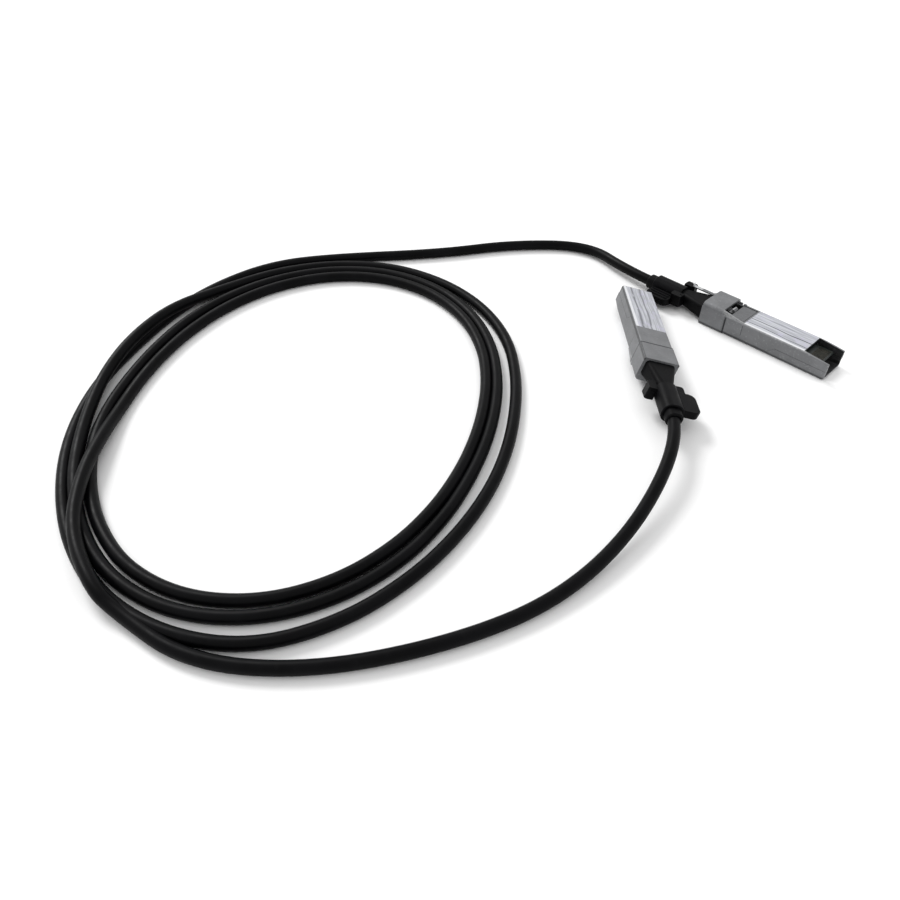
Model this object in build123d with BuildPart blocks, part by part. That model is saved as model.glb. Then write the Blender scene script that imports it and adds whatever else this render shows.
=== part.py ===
from build123d import *
import math
import os

# A direct attach copper cable: a loose coil of round cable with a pluggable module on each end.
# Millimetres. The frame is plug A's own: the origin is the middle of its mating end on the
# underside, +X runs back to the cable, +Y to its left seen from the mating end, +Z up to the latch.

# Housing of a plug
housing_length = 55.5
body_width = 13.4
body_height = 8.5
side_wall = 0.9
deck_thickness = 1.2
cover_thickness = 1.2
joint_gap = 0.05

# Mouth around the card edge, open on the latch side
mouth_length = 10.5
mouth_wall = 0.7
mouth_lip_drop = 1.1

# Joint line between the two shells: high beside the card, low behind it
skirt_top = 3.9
skirt_length = 21.5
skirt_ramp = 2.7

# Head with its hood
groove_start = 44.0
groove_width = 0.65
groove_depth = 0.5
head_width = 14.0
hood_start = 46.0
hood_rise = 1.9
hood_roof = 0.9
hood_edge_radius = 2.0
deck_edge_radius = 0.5
head_floor = 0.85
rear_wall = 1.8
shoulder_start = 36.6
shoulder_width = 0.8
tooth_length = 1.2
tooth_rise = 0.3
notch_drop = 0.8
tongue_length = 3.2
tongue_lead = 0.8
tongue_height = 0.6

# Latch pocket
pocket_start = 37.0
pocket_left_wall = 1.3
pocket_right_wall = 1.1
pocket_floor = 5.75
pocket_floor_thickness = 0.65

# Card
card_thickness = 1.0
card_below_deck = 2.25
card_setback = 3.2
card_end = 34.0
card_edge_width = 9.2
card_side_gap = 0.2
card_edge_end = 11.6
pad_count = 10
pad_pitch = 0.8
pad_width = 0.5
pad_length = 5.0
pad_start = 0.5
pad_thickness = 0.05
rib_width = 1.0
front_rib = 13.6
rear_rib = 29.4
chip_length = 4.9
chip_width = 3.9
chip_height = 1.45
chip_start = 16.0
lead_count = 4
lead_pitch = 1.27

# Cable and its pairs
cable_diameter = 4.4
cable_axis_height = 4.25
jacket_start = 49.8
pair_width = 1.15
pair_height = 2.3
pair_axis_height = 3.9
pair_spread = 2.6
pair_gather = 0.7
pair_end = 31.0
ferrule_length = 3.4
ferrule_wall = 0.55
soft_clearance = 0.05

# Strain relief
boot_clearance = 0.1
boot_front = 49.9
boot_front_width = 11.4
boot_corner = 1.3
boot_flange_start = 50.8
boot_flange_length = 1.4
boot_flange_rise = 0.45
boot_neck_start = 68.0
boot_neck_width = 6.0
boot_neck_height = 5.6
boot_neck_corner = 2.2
boot_end = 86.0

# Pull tab
tab_clearance = 0.1
tab_wall = 0.9
tab_start = 68.4
tab_length = 13.8
lug_start = 66.0
lug_length = 5.0
lug_reach = 7.0
lug_low = 2.6
paddle_start = 70.2
paddle_length = 11.4
paddle_reach = 10.5
paddle_low = 2.2
paddle_thickness = 3.0
paddle_corner = 2.6
paddle_rounding = 0.4
grip_rib_inset = 1.4
grip_rib_count = 3
grip_rib_pitch = 1.7
grip_rib_radius = 0.45

# Release slider
tab_travel = 2.5
slider_thickness = 0.5
slider_height = 8.35
slider_front = 46.2
slider_rear = 51.1
slider_left = 2.6
slider_right = 5.4
slider_window_start = 46.9
slider_window_end = 49.6
slider_window_half = 2.0
slider_lip_drop = 0.6
slider_ledge_thickness = 0.6
slider_ledge_width = 0.9
slider_gap = 0.05
arm_width = 1.6
arm_clearance = 0.15
arm_joggle_start = 56.2
arm_joggle_length = 1.4
arm_step = 0.7
arm_ear_station = 66.8
arm_ear_height = 1.0
arm_prong_depth = 1.6
arm_prong_length = 1.2

# Return spring
spring_radius = 0.7
spring_wire = 0.12
spring_turns = 5
spring_left = 3.9
spring_height = 8.55
spring_lug_station = 47.4
spring_lug_left = 4.9
spring_lug_right = 2.8
spring_lug_low = 7.8
spring_lug_high = 9.3

# Latch lever
lever_left = 5.0
lever_right = 5.2
lever_front_gap = 0.3
lever_plate_end = 43.3
lever_thickness = 0.8
lever_top = 8.35
lever_tail_end = 49.0
lever_tail_half = 1.6
lever_tail_top = 7.6
boss_width = 2.6
boss_height = 0.45
boss_ramp = 0.7
boss_flat = 0.7
boss_to_cam = 2.2
cam_start = 47.2
cam_crest = 48.6
cam_end = 48.8
cam_height = 0.78
pivot_station = 39.6
pivot_height = 7.3
knuckle_radius = 1.0
pin_radius = 0.5
pin_clearance = 0.05
pin_inset = 0.35

# Gasket and labels
gasket_clearance = 0.03
label_thickness = 0.08
label_recess = 0.1
label_edge_gap = 0.35
latch_label_end = 36.4
cover_label_start = 0.9
cover_label_end = 33.0

# How plug B lies: latch side down, rolled onto the edge of its hood
plug_b_station = 81.6
plug_b_left = 16.6
plug_b_heading = 135.5
plug_b_roll = 15.0

# Coil: radii of its innermost strand and of its outermost one every 30 degrees, chosen by hand
coil_centre = (121.8, 162.7)
coil_first_heading = 226.2
coil_inner_reach = (65.4, 76.2, 90.9, 93.3, 81.3, 70.2, 67.8, 73.8, 83.0, 83.0, 72.6, 64.5)
coil_outer_reach = (77.6, 89.0, 100.3, 107.9, 98.7, 84.4, 81.5, 82.6, 93.9, 97.8, 85.1, 77.3)
crossing_reach = (70.5, 76.0, 82.5, 89.0, 94.0)
crossing_start = 192
crossing_step = 12

# Points of the two free stretches of the cable, chosen by hand
tail_a_points = [(98, 0.01), (127, -8.5), (153, 17), (170.5, 48), (198.5, 87.5)]
tail_b_start = 95
tail_b_points = [(3, 121.5), (2.2, 158), (13, 191), (33, 224.5), (58, 246.5), (86, 252.4)]
tail_b_height = 4.6
tail_a_first_radius = 45
tail_b_first_radius = 31

# Worked-out levels and stations
deck_bottom = body_height - deck_thickness
hood_top = body_height + hood_rise
hood_ceiling = hood_top - hood_roof
half_body = body_width / 2
half_head = head_width / 2
half_inside = half_body - side_wall
pocket_left = half_body - pocket_left_wall
pocket_right = half_body - pocket_right_wall
card_width = 2 * (half_inside - card_side_gap)
boss_shoulder = cam_start - boss_to_cam
card_top = body_height - card_below_deck
card_bottom = card_top - card_thickness
head_start = groove_start + groove_width
hood_rear = housing_length - rear_wall
channel_ceiling = pocket_floor - pocket_floor_thickness
boot_front_height = 2 * (cable_axis_height - head_floor - boot_clearance)
opening_half = boot_front_width / 2 + boot_clearance
opening_height = boot_front_height + 2 * boot_clearance
cable_radius = cable_diameter / 2
ferrule_radius = cable_radius + soft_clearance + ferrule_wall
slider_top = slider_height + slider_thickness
arm_low = slider_height - arm_step
arm_middle = arm_width / 2 - slider_right
collar_width = boot_neck_width + 2 * (tab_clearance + tab_wall)
collar_height = boot_neck_height + 2 * (tab_clearance + tab_wall)
cam_top = lever_tail_top + cam_height

# Base shell: channel open towards the cover, with the head and the hood
with BuildPart() as base_shell:
    with BuildSketch(Plane.YZ):
        with Locations((0, body_height / 2)):
            Rectangle(body_width, body_height)
    extrude(amount=head_start)
    fillet(base_shell.edges().filter_by(Axis.X).group_by(Axis.Z)[-1], radius=deck_edge_radius)
    with BuildSketch(Plane.YZ.offset(head_start)) as head_section:
        with Locations((0, body_height / 2)):
            Rectangle(head_width, body_height)
        fillet(head_section.vertices().group_by(Axis.Y)[0], radius=0.6)
    extrude(amount=housing_length - head_start)
    with BuildSketch(Plane.YZ.offset(hood_start)) as hood_section:
        with Locations((0, (body_height + hood_top) / 2 - 1)):
            Rectangle(head_width, hood_rise + 2)
        fillet(hood_section.vertices().group_by(Axis.Y)[-1], radius=hood_edge_radius)
    extrude(amount=housing_length - hood_start)
    rear_rim = base_shell.edges().filter_by_position(Axis.X, housing_length, housing_length)
    chamfer(rear_rim.filter_by(Axis.Y).sort_by(Axis.Z)[-1], length=0.5)
    # Shoulder that runs down from the hood to the deck on the left side
    with BuildSketch(Plane.XZ.offset(-half_body)):
        with BuildLine():
            Polyline(
                (shoulder_start, body_height - 1),
                (shoulder_start, body_height),
                (hood_start, hood_top - 0.25),
                (hood_start, body_height - 1),
                close=True,
            )
        make_face()
    extrude(amount=shoulder_width)
    # Inside: card bay, channel for the pairs, boot opening
    with BuildSketch(Plane.XY):
        with Locations((head_start / 2, 0)):
            Rectangle(head_start, 2 * half_inside)
    extrude(amount=channel_ceiling, mode=Mode.SUBTRACT)
    with BuildSketch(Plane.XY.offset(head_floor)):
        with Locations(((head_start + jacket_start) / 2 - joint_gap, 0)):
            Rectangle(jacket_start - head_start + 2 * joint_gap, 2 * half_inside)
    extrude(amount=channel_ceiling - head_floor, mode=Mode.SUBTRACT)
    with BuildSketch(Plane.XY.offset(channel_ceiling)):
        with Locations(((pocket_start - deck_thickness) / 2, 0)):
            Rectangle(pocket_start - deck_thickness, 2 * half_inside)
    extrude(amount=deck_bottom - channel_ceiling, mode=Mode.SUBTRACT)
    with BuildSketch(Plane.YZ.offset(jacket_start - joint_gap)) as opening_section:
        with Locations((0, cable_axis_height)):
            RectangleRounded(2 * opening_half, opening_height, boot_corner + boot_clearance)
    extrude(amount=housing_length, mode=Mode.SUBTRACT)
    with BuildSketch(Plane.YZ.offset(boot_flange_start - joint_gap)):
        with Locations((0, cable_axis_height)):
            Rectangle(2 * (opening_half + boot_flange_rise), opening_height - 2 * boot_corner)
    extrude(amount=boot_flange_length + 2 * joint_gap, mode=Mode.SUBTRACT)
    # Latch pocket, open in front of the hood and hollow under it
    pocket_width = pocket_left + pocket_right
    with BuildSketch(Plane.XY.offset(pocket_floor)):
        with Locations(((pocket_start + hood_rear) / 2, (pocket_left - pocket_right) / 2)):
            Rectangle(hood_rear - pocket_start, pocket_width)
    extrude(amount=hood_ceiling - pocket_floor, mode=Mode.SUBTRACT)
    # Mouth: the deck is open over the card edge, between two thin walls with a falling lip
    with BuildSketch(Plane.XY.offset(card_bottom)):
        with Locations((mouth_length / 2, 0)):
            Rectangle(mouth_length, body_width - 2 * mouth_wall)
    extrude(amount=body_height, mode=Mode.SUBTRACT)
    with BuildSketch(Plane.XZ.offset(-half_body)):
        with BuildLine():
            Polyline(
                (0, body_height + 1),
                (0, body_height - mouth_lip_drop),
                (mouth_length, body_height),
                (mouth_length, body_height + 1),
                close=True,
            )
        make_face()
    extrude(amount=body_width, mode=Mode.SUBTRACT)
    # Joint line with the cover: everything below it belongs to the cover
    with BuildSketch(Plane.XZ.offset(-half_body)):
        with BuildLine():
            Polyline(
                (0, 0),
                (0, skirt_top),
                (skirt_length, skirt_top),
                (skirt_length + skirt_ramp, cover_thickness),
                (head_start, cover_thickness),
                (head_start, 0),
                close=True,
            )
        make_face()
    extrude(amount=body_width, mode=Mode.SUBTRACT)
    # Gasket groove in both side walls
    with BuildSketch(Plane.XY):
        for side in (-1, 1):
            with Locations((groove_start + groove_width / 2, side * (half_body - groove_depth / 2))):
                Rectangle(groove_width, groove_depth)
    extrude(amount=body_height - 1, mode=Mode.SUBTRACT)
    # Notch in front of the hood on the right side, and the small tooth before it
    with BuildSketch(Plane.XZ.offset(half_body)):
        with Locations(((groove_start + hood_start) / 2 - 0.15, body_height - notch_drop / 2 + 0.5)):
            Rectangle(hood_start - groove_start + 0.3, notch_drop + 1)
    extrude(amount=-(half_body - pocket_right), mode=Mode.SUBTRACT)
    with BuildSketch(Plane.XY.offset(body_height - 0.5)):
        tooth_middle = -(half_body + pocket_right) / 2
        with Locations((groove_start - 0.2 - tooth_length / 2, tooth_middle + 0.05)):
            Rectangle(tooth_length, half_body - pocket_right - 0.3)
    extrude(amount=0.5 + tooth_rise)
    # Bed of the latch-side label
    with BuildSketch(Plane.XY.offset(body_height - label_recess)):
        with Locations(((mouth_length + latch_label_end) / 2, 0)):
            Rectangle(latch_label_end - mouth_length, body_width - 2 * label_edge_gap)
    extrude(amount=1, mode=Mode.SUBTRACT)
    # Ribs that hold the card down
    with BuildSketch(Plane.XY.offset(card_top)):
        for station in (front_rib, rear_rib):
            with Locations((station + rib_width / 2, 0)):
                Rectangle(rib_width, 2 * half_inside)
    extrude(amount=deck_bottom - card_top)
    # Slot for the slider's arm through the rear wall
    with BuildSketch(Plane.YZ.offset(hood_rear - 0.1)):
        with Locations((arm_middle, slider_height + slider_thickness / 2)):
            Rectangle(arm_width + 2 * arm_clearance, slider_thickness + 2 * arm_clearance)
    extrude(amount=rear_wall + 1, mode=Mode.SUBTRACT)
    # Ledges that carry the slider under the hood
    ledge_top = slider_height - slider_gap
    with BuildSketch(Plane.XY.offset(ledge_top - slider_ledge_thickness)):
        with Locations(((hood_start + hood_rear) / 2, slider_ledge_width / 2 - pocket_right)):
            Rectangle(hood_rear - hood_start, slider_ledge_width)
    extrude(amount=slider_ledge_thickness)
    with BuildSketch(Plane.XY.offset(pocket_floor - 0.1)):
        with Locations(((hood_start + jacket_start - 0.1) / 2, slider_left - slider_ledge_width / 3)):
            Rectangle(jacket_start - 0.1 - hood_start, slider_ledge_width * 2 / 3)
    extrude(amount=ledge_top - pocket_floor + 0.1)
    # Hole for the lever's pin, through the right wall and blind in the left one
    with BuildSketch(Plane.XZ.offset(half_body + 0.1)):
        with Locations((pivot_station, pivot_height)):
            Circle(pin_radius)
    extrude(amount=-(body_width + 0.1 - pin_inset), mode=Mode.SUBTRACT)

# Cover shell: plate, side skirts beside the card, posts under the card and a hook at the head
with BuildPart() as cover_shell:
    with BuildSketch(Plane.XZ.offset(-half_body)):
        with BuildLine():
            Polyline(
                (0, 0),
                (0, skirt_top - joint_gap),
                (skirt_length - joint_gap, skirt_top - joint_gap),
                (skirt_length + skirt_ramp - joint_gap, cover_thickness - joint_gap),
                (groove_start, cover_thickness - joint_gap),
                (groove_start, 0),
                close=True,
            )
        make_face()
    extrude(amount=body_width)
    front_edge = cover_shell.edges().filter_by(Axis.Y).group_by(Axis.Z)[0].sort_by(Axis.X)[0]
    fillet(front_edge, radius=1.1)
    fillet(cover_shell.edges().filter_by(Axis.Z).group_by(Axis.X)[0], radius=0.8)
    with BuildSketch(Plane.XY.offset(cover_thickness)):
        with Locations(((skirt_length + skirt_ramp) / 2, 0)):
            Rectangle(skirt_length + skirt_ramp, 2 * half_inside)
    extrude(amount=skirt_top, mode=Mode.SUBTRACT)
    with BuildSketch(Plane.XY.offset(cover_thickness)):
        with Locations((mouth_length / 2, 0)):
            Rectangle(mouth_length, body_width - 2 * mouth_wall)
    extrude(amount=skirt_top, mode=Mode.SUBTRACT)
    with BuildSketch(Plane.XY.offset(cover_thickness - joint_gap)):
        for station in (front_rib, rear_rib):
            for side in (-1, 1):
                with Locations((station + rib_width / 2, side * (half_inside - rib_width / 2 - joint_gap))):
                    Rectangle(rib_width, rib_width)
    extrude(amount=card_bottom - cover_thickness + joint_gap)
    with BuildSketch(Plane.XY.offset(head_floor + joint_gap)):
        with Locations((groove_start + tongue_lead, 0)):
            Rectangle(tongue_length, card_edge_width)
    extrude(amount=tongue_height)
    with BuildSketch(Plane.XY):
        with Locations(((cover_label_start + cover_label_end) / 2, 0)):
            Rectangle(cover_label_end - cover_label_start, body_width - 2 * label_edge_gap)
    extrude(amount=label_recess, mode=Mode.SUBTRACT)

# Paddle card: narrow plug edge with bevelled front, wider behind
with BuildPart() as paddle_card:
    with BuildSketch(Plane.XY.offset(card_bottom)):
        with Locations(((card_setback + card_end) / 2, 0)):
            Rectangle(card_end - card_setback, card_edge_width)
        with Locations(((card_edge_end + card_end) / 2, 0)):
            Rectangle(card_end - card_edge_end, card_width)
    extrude(amount=card_thickness)
    card_front = paddle_card.edges().filter_by(Axis.Y).group_by(Axis.X)[0]
    chamfer(card_front, length=0.25)

with BuildPart() as card_contacts:
    for level in (card_bottom - pad_thickness, card_top):
        with BuildSketch(Plane.XY.offset(level)):
            with Locations((card_setback + pad_start + pad_length / 2, 0)):
                with GridLocations(pad_pitch, pad_pitch, 1, pad_count):
                    Rectangle(pad_length, pad_width)
        extrude(amount=pad_thickness)

with BuildPart() as memory_chip:
    with BuildSketch(Plane.XY.offset(card_bottom - 0.1)):
        with Locations((chip_start + chip_length / 2, 0)):
            Rectangle(chip_length, chip_width)
    extrude(amount=0.1 - chip_height)
    chamfer(memory_chip.faces().sort_by(Axis.Z)[0].edges(), length=0.3)
    with BuildSketch(Plane.XY.offset(card_bottom)):
        with Locations((chip_start + chip_length / 2, 0)):
            with GridLocations(lead_pitch, 1, lead_count, 1):
                Rectangle(0.4, chip_width + 2)
    extrude(amount=-0.2)

# Signal pairs: two screened pairs, side by side out of the jacket, spread to the card
with BuildPart() as signal_pairs:
    for side in (-1, 1):
        with BuildLine() as pair_path:
            FilletPolyline(
                (jacket_start, side * pair_gather, pair_axis_height),
                (46.6, side * pair_gather, pair_axis_height),
                (42.2, side * pair_spread, pair_axis_height),
                (pair_end, side * pair_spread, pair_axis_height),
                radius=2.5,
            )
        with BuildSketch(Plane(pair_path.line @ 0, z_dir=pair_path.line % 0)) as pair_section:
            SlotOverall(pair_height, pair_width)
        sweep(path=pair_path.line)

with BuildPart() as crimp_ferrule:
    with BuildSketch(Plane.YZ.offset(jacket_start)):
        with Locations((0, cable_axis_height)):
            Circle(ferrule_radius)
            Circle(cable_radius + soft_clearance, mode=Mode.SUBTRACT)
    extrude(amount=ferrule_length)
    chamfer(crimp_ferrule.edges().group_by(Axis.X)[-1].sort_by(SortBy.RADIUS)[-1], length=0.2)

# Strain relief: wide block in the head, lofted down to a straight neck round the cable
with BuildPart() as strain_relief:
    with BuildSketch(Plane.YZ.offset(boot_front)):
        with Locations((0, cable_axis_height)):
            RectangleRounded(boot_front_width, boot_front_height, boot_corner)
    extrude(amount=housing_length + 1 - boot_front)
    with BuildSketch(Plane.YZ.offset(housing_length + 1)):
        with Locations((0, cable_axis_height)):
            RectangleRounded(boot_front_width, boot_front_height, boot_corner)
    with BuildSketch(Plane.YZ.offset(boot_neck_start)):
        with Locations((0, cable_axis_height)):
            RectangleRounded(boot_neck_width, boot_neck_height, boot_neck_corner)
    loft()
    with BuildSketch(Plane.YZ.offset(boot_neck_start)):
        with Locations((0, cable_axis_height)):
            RectangleRounded(boot_neck_width, boot_neck_height, boot_neck_corner)
    extrude(amount=boot_end - boot_neck_start)
    fillet(strain_relief.faces().sort_by(Axis.X)[-1].edges(), radius=0.8)
    with BuildSketch(Plane.YZ.offset(boot_flange_start)):
        with Locations((0, cable_axis_height)):
            flange_width = boot_front_width + 2 * boot_flange_rise
            Rectangle(flange_width, boot_front_height - 2 * boot_corner - 0.2)
    extrude(amount=boot_flange_length)
    with BuildSketch(Plane.YZ.offset(boot_front)):
        with Locations((0, cable_axis_height)):
            Circle(cable_radius + soft_clearance)
    extrude(amount=boot_end, mode=Mode.SUBTRACT)
    with BuildSketch(Plane.YZ.offset(boot_front)):
        with Locations((0, cable_axis_height)):
            Circle(ferrule_radius + soft_clearance)
    extrude(amount=jacket_start + ferrule_length + soft_clearance - boot_front, mode=Mode.SUBTRACT)

# Pull tab: collar on the neck, a lug on each side and a ribbed grip paddle on the left
with BuildPart() as pull_tab:
    paddle_inner = collar_width / 2 - 0.4
    with BuildSketch(Plane.XY.offset(paddle_low)) as paddle_outline:
        with Locations((paddle_start + paddle_length / 2, (paddle_inner + paddle_reach) / 2)):
            Rectangle(paddle_length, paddle_reach - paddle_inner)
        fillet(paddle_outline.vertices().group_by(Axis.Y)[-1], radius=paddle_corner)
    extrude(amount=paddle_thickness)
    for face in (0, -1):
        fillet(pull_tab.faces().sort_by(Axis.Z)[face].edges(), radius=paddle_rounding)
    with BuildSketch(Plane.YZ.offset(tab_start)):
        with Locations((0, cable_axis_height)):
            RectangleRounded(collar_width, collar_height, boot_neck_corner + tab_clearance + tab_wall)
    extrude(amount=tab_length)
    fillet(pull_tab.faces().sort_by(Axis.X)[-1].edges(), radius=paddle_rounding)
    lug_inner = collar_width / 2 - 0.2
    with BuildSketch(Plane.XY.offset(lug_low)) as lug_outline:
        for side in (-1, 1):
            with Locations((lug_start + lug_length / 2, side * (lug_reach + lug_inner) / 2)):
                Rectangle(lug_length, lug_reach - lug_inner)
        lug_corners = lug_outline.vertices().group_by(Axis.Y)
        fillet(lug_corners[0] + lug_corners[-1], radius=0.8)
    extrude(amount=arm_low - lug_low)
    with BuildSketch(Plane.YZ.offset(paddle_start + grip_rib_inset)):
        for rib in range(grip_rib_count):
            rib_left = paddle_reach - paddle_corner - rib * grip_rib_pitch + 0.6
            with Locations((rib_left, paddle_low + paddle_thickness)):
                Circle(grip_rib_radius)
    extrude(amount=paddle_length - 2 * grip_rib_inset)
    # Opening for the neck, and a slit in each lug for the slider's prong
    with BuildSketch(Plane.YZ.offset(lug_start)):
        with Locations((0, cable_axis_height)):
            bore_width = boot_neck_width + 2 * tab_clearance
            bore_height = boot_neck_height + 2 * tab_clearance
            RectangleRounded(bore_width, bore_height, boot_neck_corner + tab_clearance)
    extrude(amount=tab_length + lug_length, mode=Mode.SUBTRACT)
    with BuildSketch(Plane.XY.offset(arm_low - arm_prong_depth)):
        for side in (-1, 1):
            prong_middle = side * (slider_right - slider_thickness / 2)
            with Locations((arm_ear_station - slider_thickness + arm_prong_length / 2, prong_middle)):
                Rectangle(arm_prong_length, slider_thickness)
    extrude(amount=arm_prong_depth, mode=Mode.SUBTRACT)

# Release slider: sheet plate under the hood, one arm back to the pull tab
with BuildPart() as release_slider:
    with BuildSketch(Plane.XY.offset(slider_height)):
        with Locations(((slider_front + slider_rear) / 2, (slider_left - slider_right) / 2)):
            Rectangle(slider_rear - slider_front, slider_left + slider_right)
        with Locations(((slider_window_start + slider_window_end) / 2, 0)):
            Rectangle(slider_window_end - slider_window_start, 2 * slider_window_half, mode=Mode.SUBTRACT)
    extrude(amount=slider_thickness)
    # Lip that presses the lever down
    with BuildSketch(Plane.XY.offset(slider_height)):
        with Locations(((slider_front + slider_window_start) / 2, 0)):
            Rectangle(slider_window_start - slider_front, 2 * slider_window_half)
    extrude(amount=-slider_lip_drop)
    # Upright lug for the spring
    with BuildSketch(Plane.YZ.offset(spring_lug_station)):
        with Locations(((slider_left + spring_lug_left) / 2, slider_height + slider_thickness / 2)):
            Rectangle(spring_lug_left - slider_left, slider_thickness)
        with Locations(((spring_lug_right + spring_lug_left) / 2, (spring_lug_low + spring_lug_high) / 2)):
            Rectangle(spring_lug_left - spring_lug_right, spring_lug_high - spring_lug_low)
    extrude(amount=slider_thickness)
    # Arm with its step down behind the head, upturned ear and prong
    ear_rear = arm_ear_station + slider_thickness
    joggle_end = arm_joggle_start + arm_joggle_length
    with BuildSketch(Plane.XZ.offset(slider_right - arm_width)):
        with BuildLine():
            Polyline(
                (slider_rear - 1, slider_height),
                (arm_joggle_start, slider_height),
                (joggle_end, arm_low),
                (ear_rear, arm_low),
                (ear_rear, arm_low + slider_thickness + arm_ear_height),
                (arm_ear_station, arm_low + slider_thickness + arm_ear_height),
                (arm_ear_station, arm_low + slider_thickness),
                (joggle_end, arm_low + slider_thickness),
                (arm_joggle_start, slider_height + slider_thickness),
                (slider_rear - 1, slider_height + slider_thickness),
                close=True,
            )
        make_face()
    extrude(amount=arm_width)
    with BuildSketch(Plane.XY.offset(arm_low - arm_prong_depth)):
        prong_middle = slider_thickness / 2 - slider_right
        with Locations((arm_ear_station - slider_thickness + arm_prong_length / 2, prong_middle)):
            Rectangle(arm_prong_length, slider_thickness)
    extrude(amount=arm_prong_depth + slider_thickness / 2)

# Return spring between the slider's lug and the rear wall of the head
with BuildPart() as return_spring:
    spring_start = spring_lug_station + slider_thickness + spring_wire
    spring_length = hood_rear - spring_wire - spring_start
    spring_seat = (spring_start, spring_left, spring_height)
    spring_pitch = spring_length / spring_turns
    with BuildLine() as spring_path:
        Helix(spring_pitch, spring_length, spring_radius, center=spring_seat, direction=(1, 0, 0))
    with BuildSketch(Plane(spring_path.line @ 0, z_dir=spring_path.line % 0)):
        Circle(spring_wire)
    sweep(path=spring_path.line, is_frenet=True)

# Latch lever: plate in front of the hood, knuckle on the pin, boss and cam behind
with BuildPart() as latch_lever:
    plate_start = pocket_start + lever_front_gap
    with BuildSketch(Plane.XY.offset(lever_top - lever_thickness)):
        with Locations(((plate_start + lever_plate_end) / 2, (lever_left - lever_right) / 2)):
            Rectangle(lever_plate_end - plate_start, lever_left + lever_right)
    extrude(amount=lever_thickness)
    with BuildSketch(Plane.XZ.offset(-lever_left)):
        with Locations((pivot_station, pivot_height)):
            Circle(knuckle_radius)
    extrude(amount=lever_left + lever_right)
    tail_bottom = lever_tail_top - lever_thickness
    with BuildSketch(Plane.XZ.offset(-lever_tail_half)):
        with BuildLine():
            Polyline(
                (lever_plate_end - 1.2, lever_top),
                (lever_plate_end, lever_top),
                (lever_plate_end + 0.4, lever_tail_top),
                (cam_start, lever_tail_top),
                (cam_crest, cam_top),
                (cam_end, cam_top),
                (cam_end, lever_tail_top),
                (lever_tail_end, lever_tail_top),
                (lever_tail_end, tail_bottom),
                (lever_plate_end, tail_bottom),
                (lever_plate_end - 1.2, lever_top - lever_thickness),
                close=True,
            )
        make_face()
    extrude(amount=2 * lever_tail_half)
    boss_top = body_height + boss_height
    with BuildSketch(Plane.XZ.offset(-boss_width / 2)):
        with BuildLine():
            Polyline(
                (boss_shoulder - boss_flat - boss_ramp, lever_tail_top - 0.2),
                (boss_shoulder - boss_flat - boss_ramp, lever_top),
                (boss_shoulder - boss_flat, boss_top),
                (boss_shoulder, boss_top),
                (boss_shoulder, lever_tail_top - 0.2),
                close=True,
            )
        make_face()
    extrude(amount=boss_width)
    with BuildSketch(Plane.XZ.offset(-lever_left)):
        with Locations((pivot_station, pivot_height)):
            Circle(pin_radius + pin_clearance)
    extrude(amount=lever_left + lever_right, mode=Mode.SUBTRACT)

with BuildPart() as lever_pin:
    with BuildSketch(Plane.XZ.offset(half_body - 0.1)):
        with Locations((pivot_station, pivot_height)):
            Circle(pin_radius)
    extrude(amount=-(body_width - pin_inset - 0.1))

# Gasket: a band in the groove, across the cover side and up both side walls
with BuildPart() as emi_gasket:
    band_low = gasket_clearance
    band_high = body_height - 1 - gasket_clearance
    band_half = half_body - 0.1
    with BuildSketch(Plane.YZ.offset(groove_start + gasket_clearance)):
        with Locations((0, (band_low + band_high) / 2)):
            Rectangle(2 * band_half, band_high - band_low)
        with Locations((0, (head_floor + body_height) / 2)):
            Rectangle(2 * (half_body - groove_depth), body_height - head_floor, mode=Mode.SUBTRACT)
    extrude(amount=groove_width - 2 * gasket_clearance)

with BuildPart() as cover_label:
    with BuildSketch(Plane.XY.offset(label_recess)):
        with Locations(((cover_label_start + cover_label_end) / 2, 0)):
            label_width = body_width - 2 * label_edge_gap - 2 * gasket_clearance
            Rectangle(cover_label_end - cover_label_start - 2 * gasket_clearance, label_width)
    extrude(amount=-label_thickness)

with BuildPart() as latch_label:
    with BuildSketch(Plane.XY.offset(body_height - label_recess)):
        with Locations(((mouth_length + latch_label_end) / 2, 0)):
            Rectangle(latch_label_end - mouth_length - 2 * gasket_clearance, label_width)
    extrude(amount=label_thickness)

# Plug B's frame: rolled and pitched until the hood's edge and the deck's edge both touch the floor
roll = math.radians(plug_b_roll)
hood_drop = (half_head - hood_edge_radius) * math.sin(roll) + hood_edge_radius
hood_drop += (hood_top - hood_edge_radius) * math.cos(roll)
deck_drop = (half_body - deck_edge_radius) * math.sin(roll) + deck_edge_radius
deck_drop += (body_height - deck_edge_radius) * math.cos(roll)
pitch = math.atan2(hood_drop - deck_drop, hood_start - mouth_length)
plug_b_height = deck_drop * math.cos(pitch) - mouth_length * math.sin(pitch)
plug_b = Pos(plug_b_station, plug_b_left, plug_b_height) * Rot(Z=plug_b_heading)
plug_b = plug_b * Rot(Y=-math.degrees(pitch)) * Rot(X=180 - plug_b_roll)


def on_plug_b(station, left, up):
    """Place in the common frame of a place on plug B."""
    return (plug_b * Pos(station, left, up)).position


def run_radii(points, first_radius):
    """Radius of each arc: 0.45 of its shorter run over the tangent of half its turn."""
    radii = [first_radius]
    for before, corner, after in zip(points[1:], points[2:], points[3:]):
        into, out = corner - before, after - corner
        half_turn = math.radians(into.get_angle(out) / 2)
        radii.append(0.45 * min(into.length, out.length) / math.tan(half_turn))
    print("arc radii", [round(radius, 1) for radius in radii])
    return radii


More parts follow.
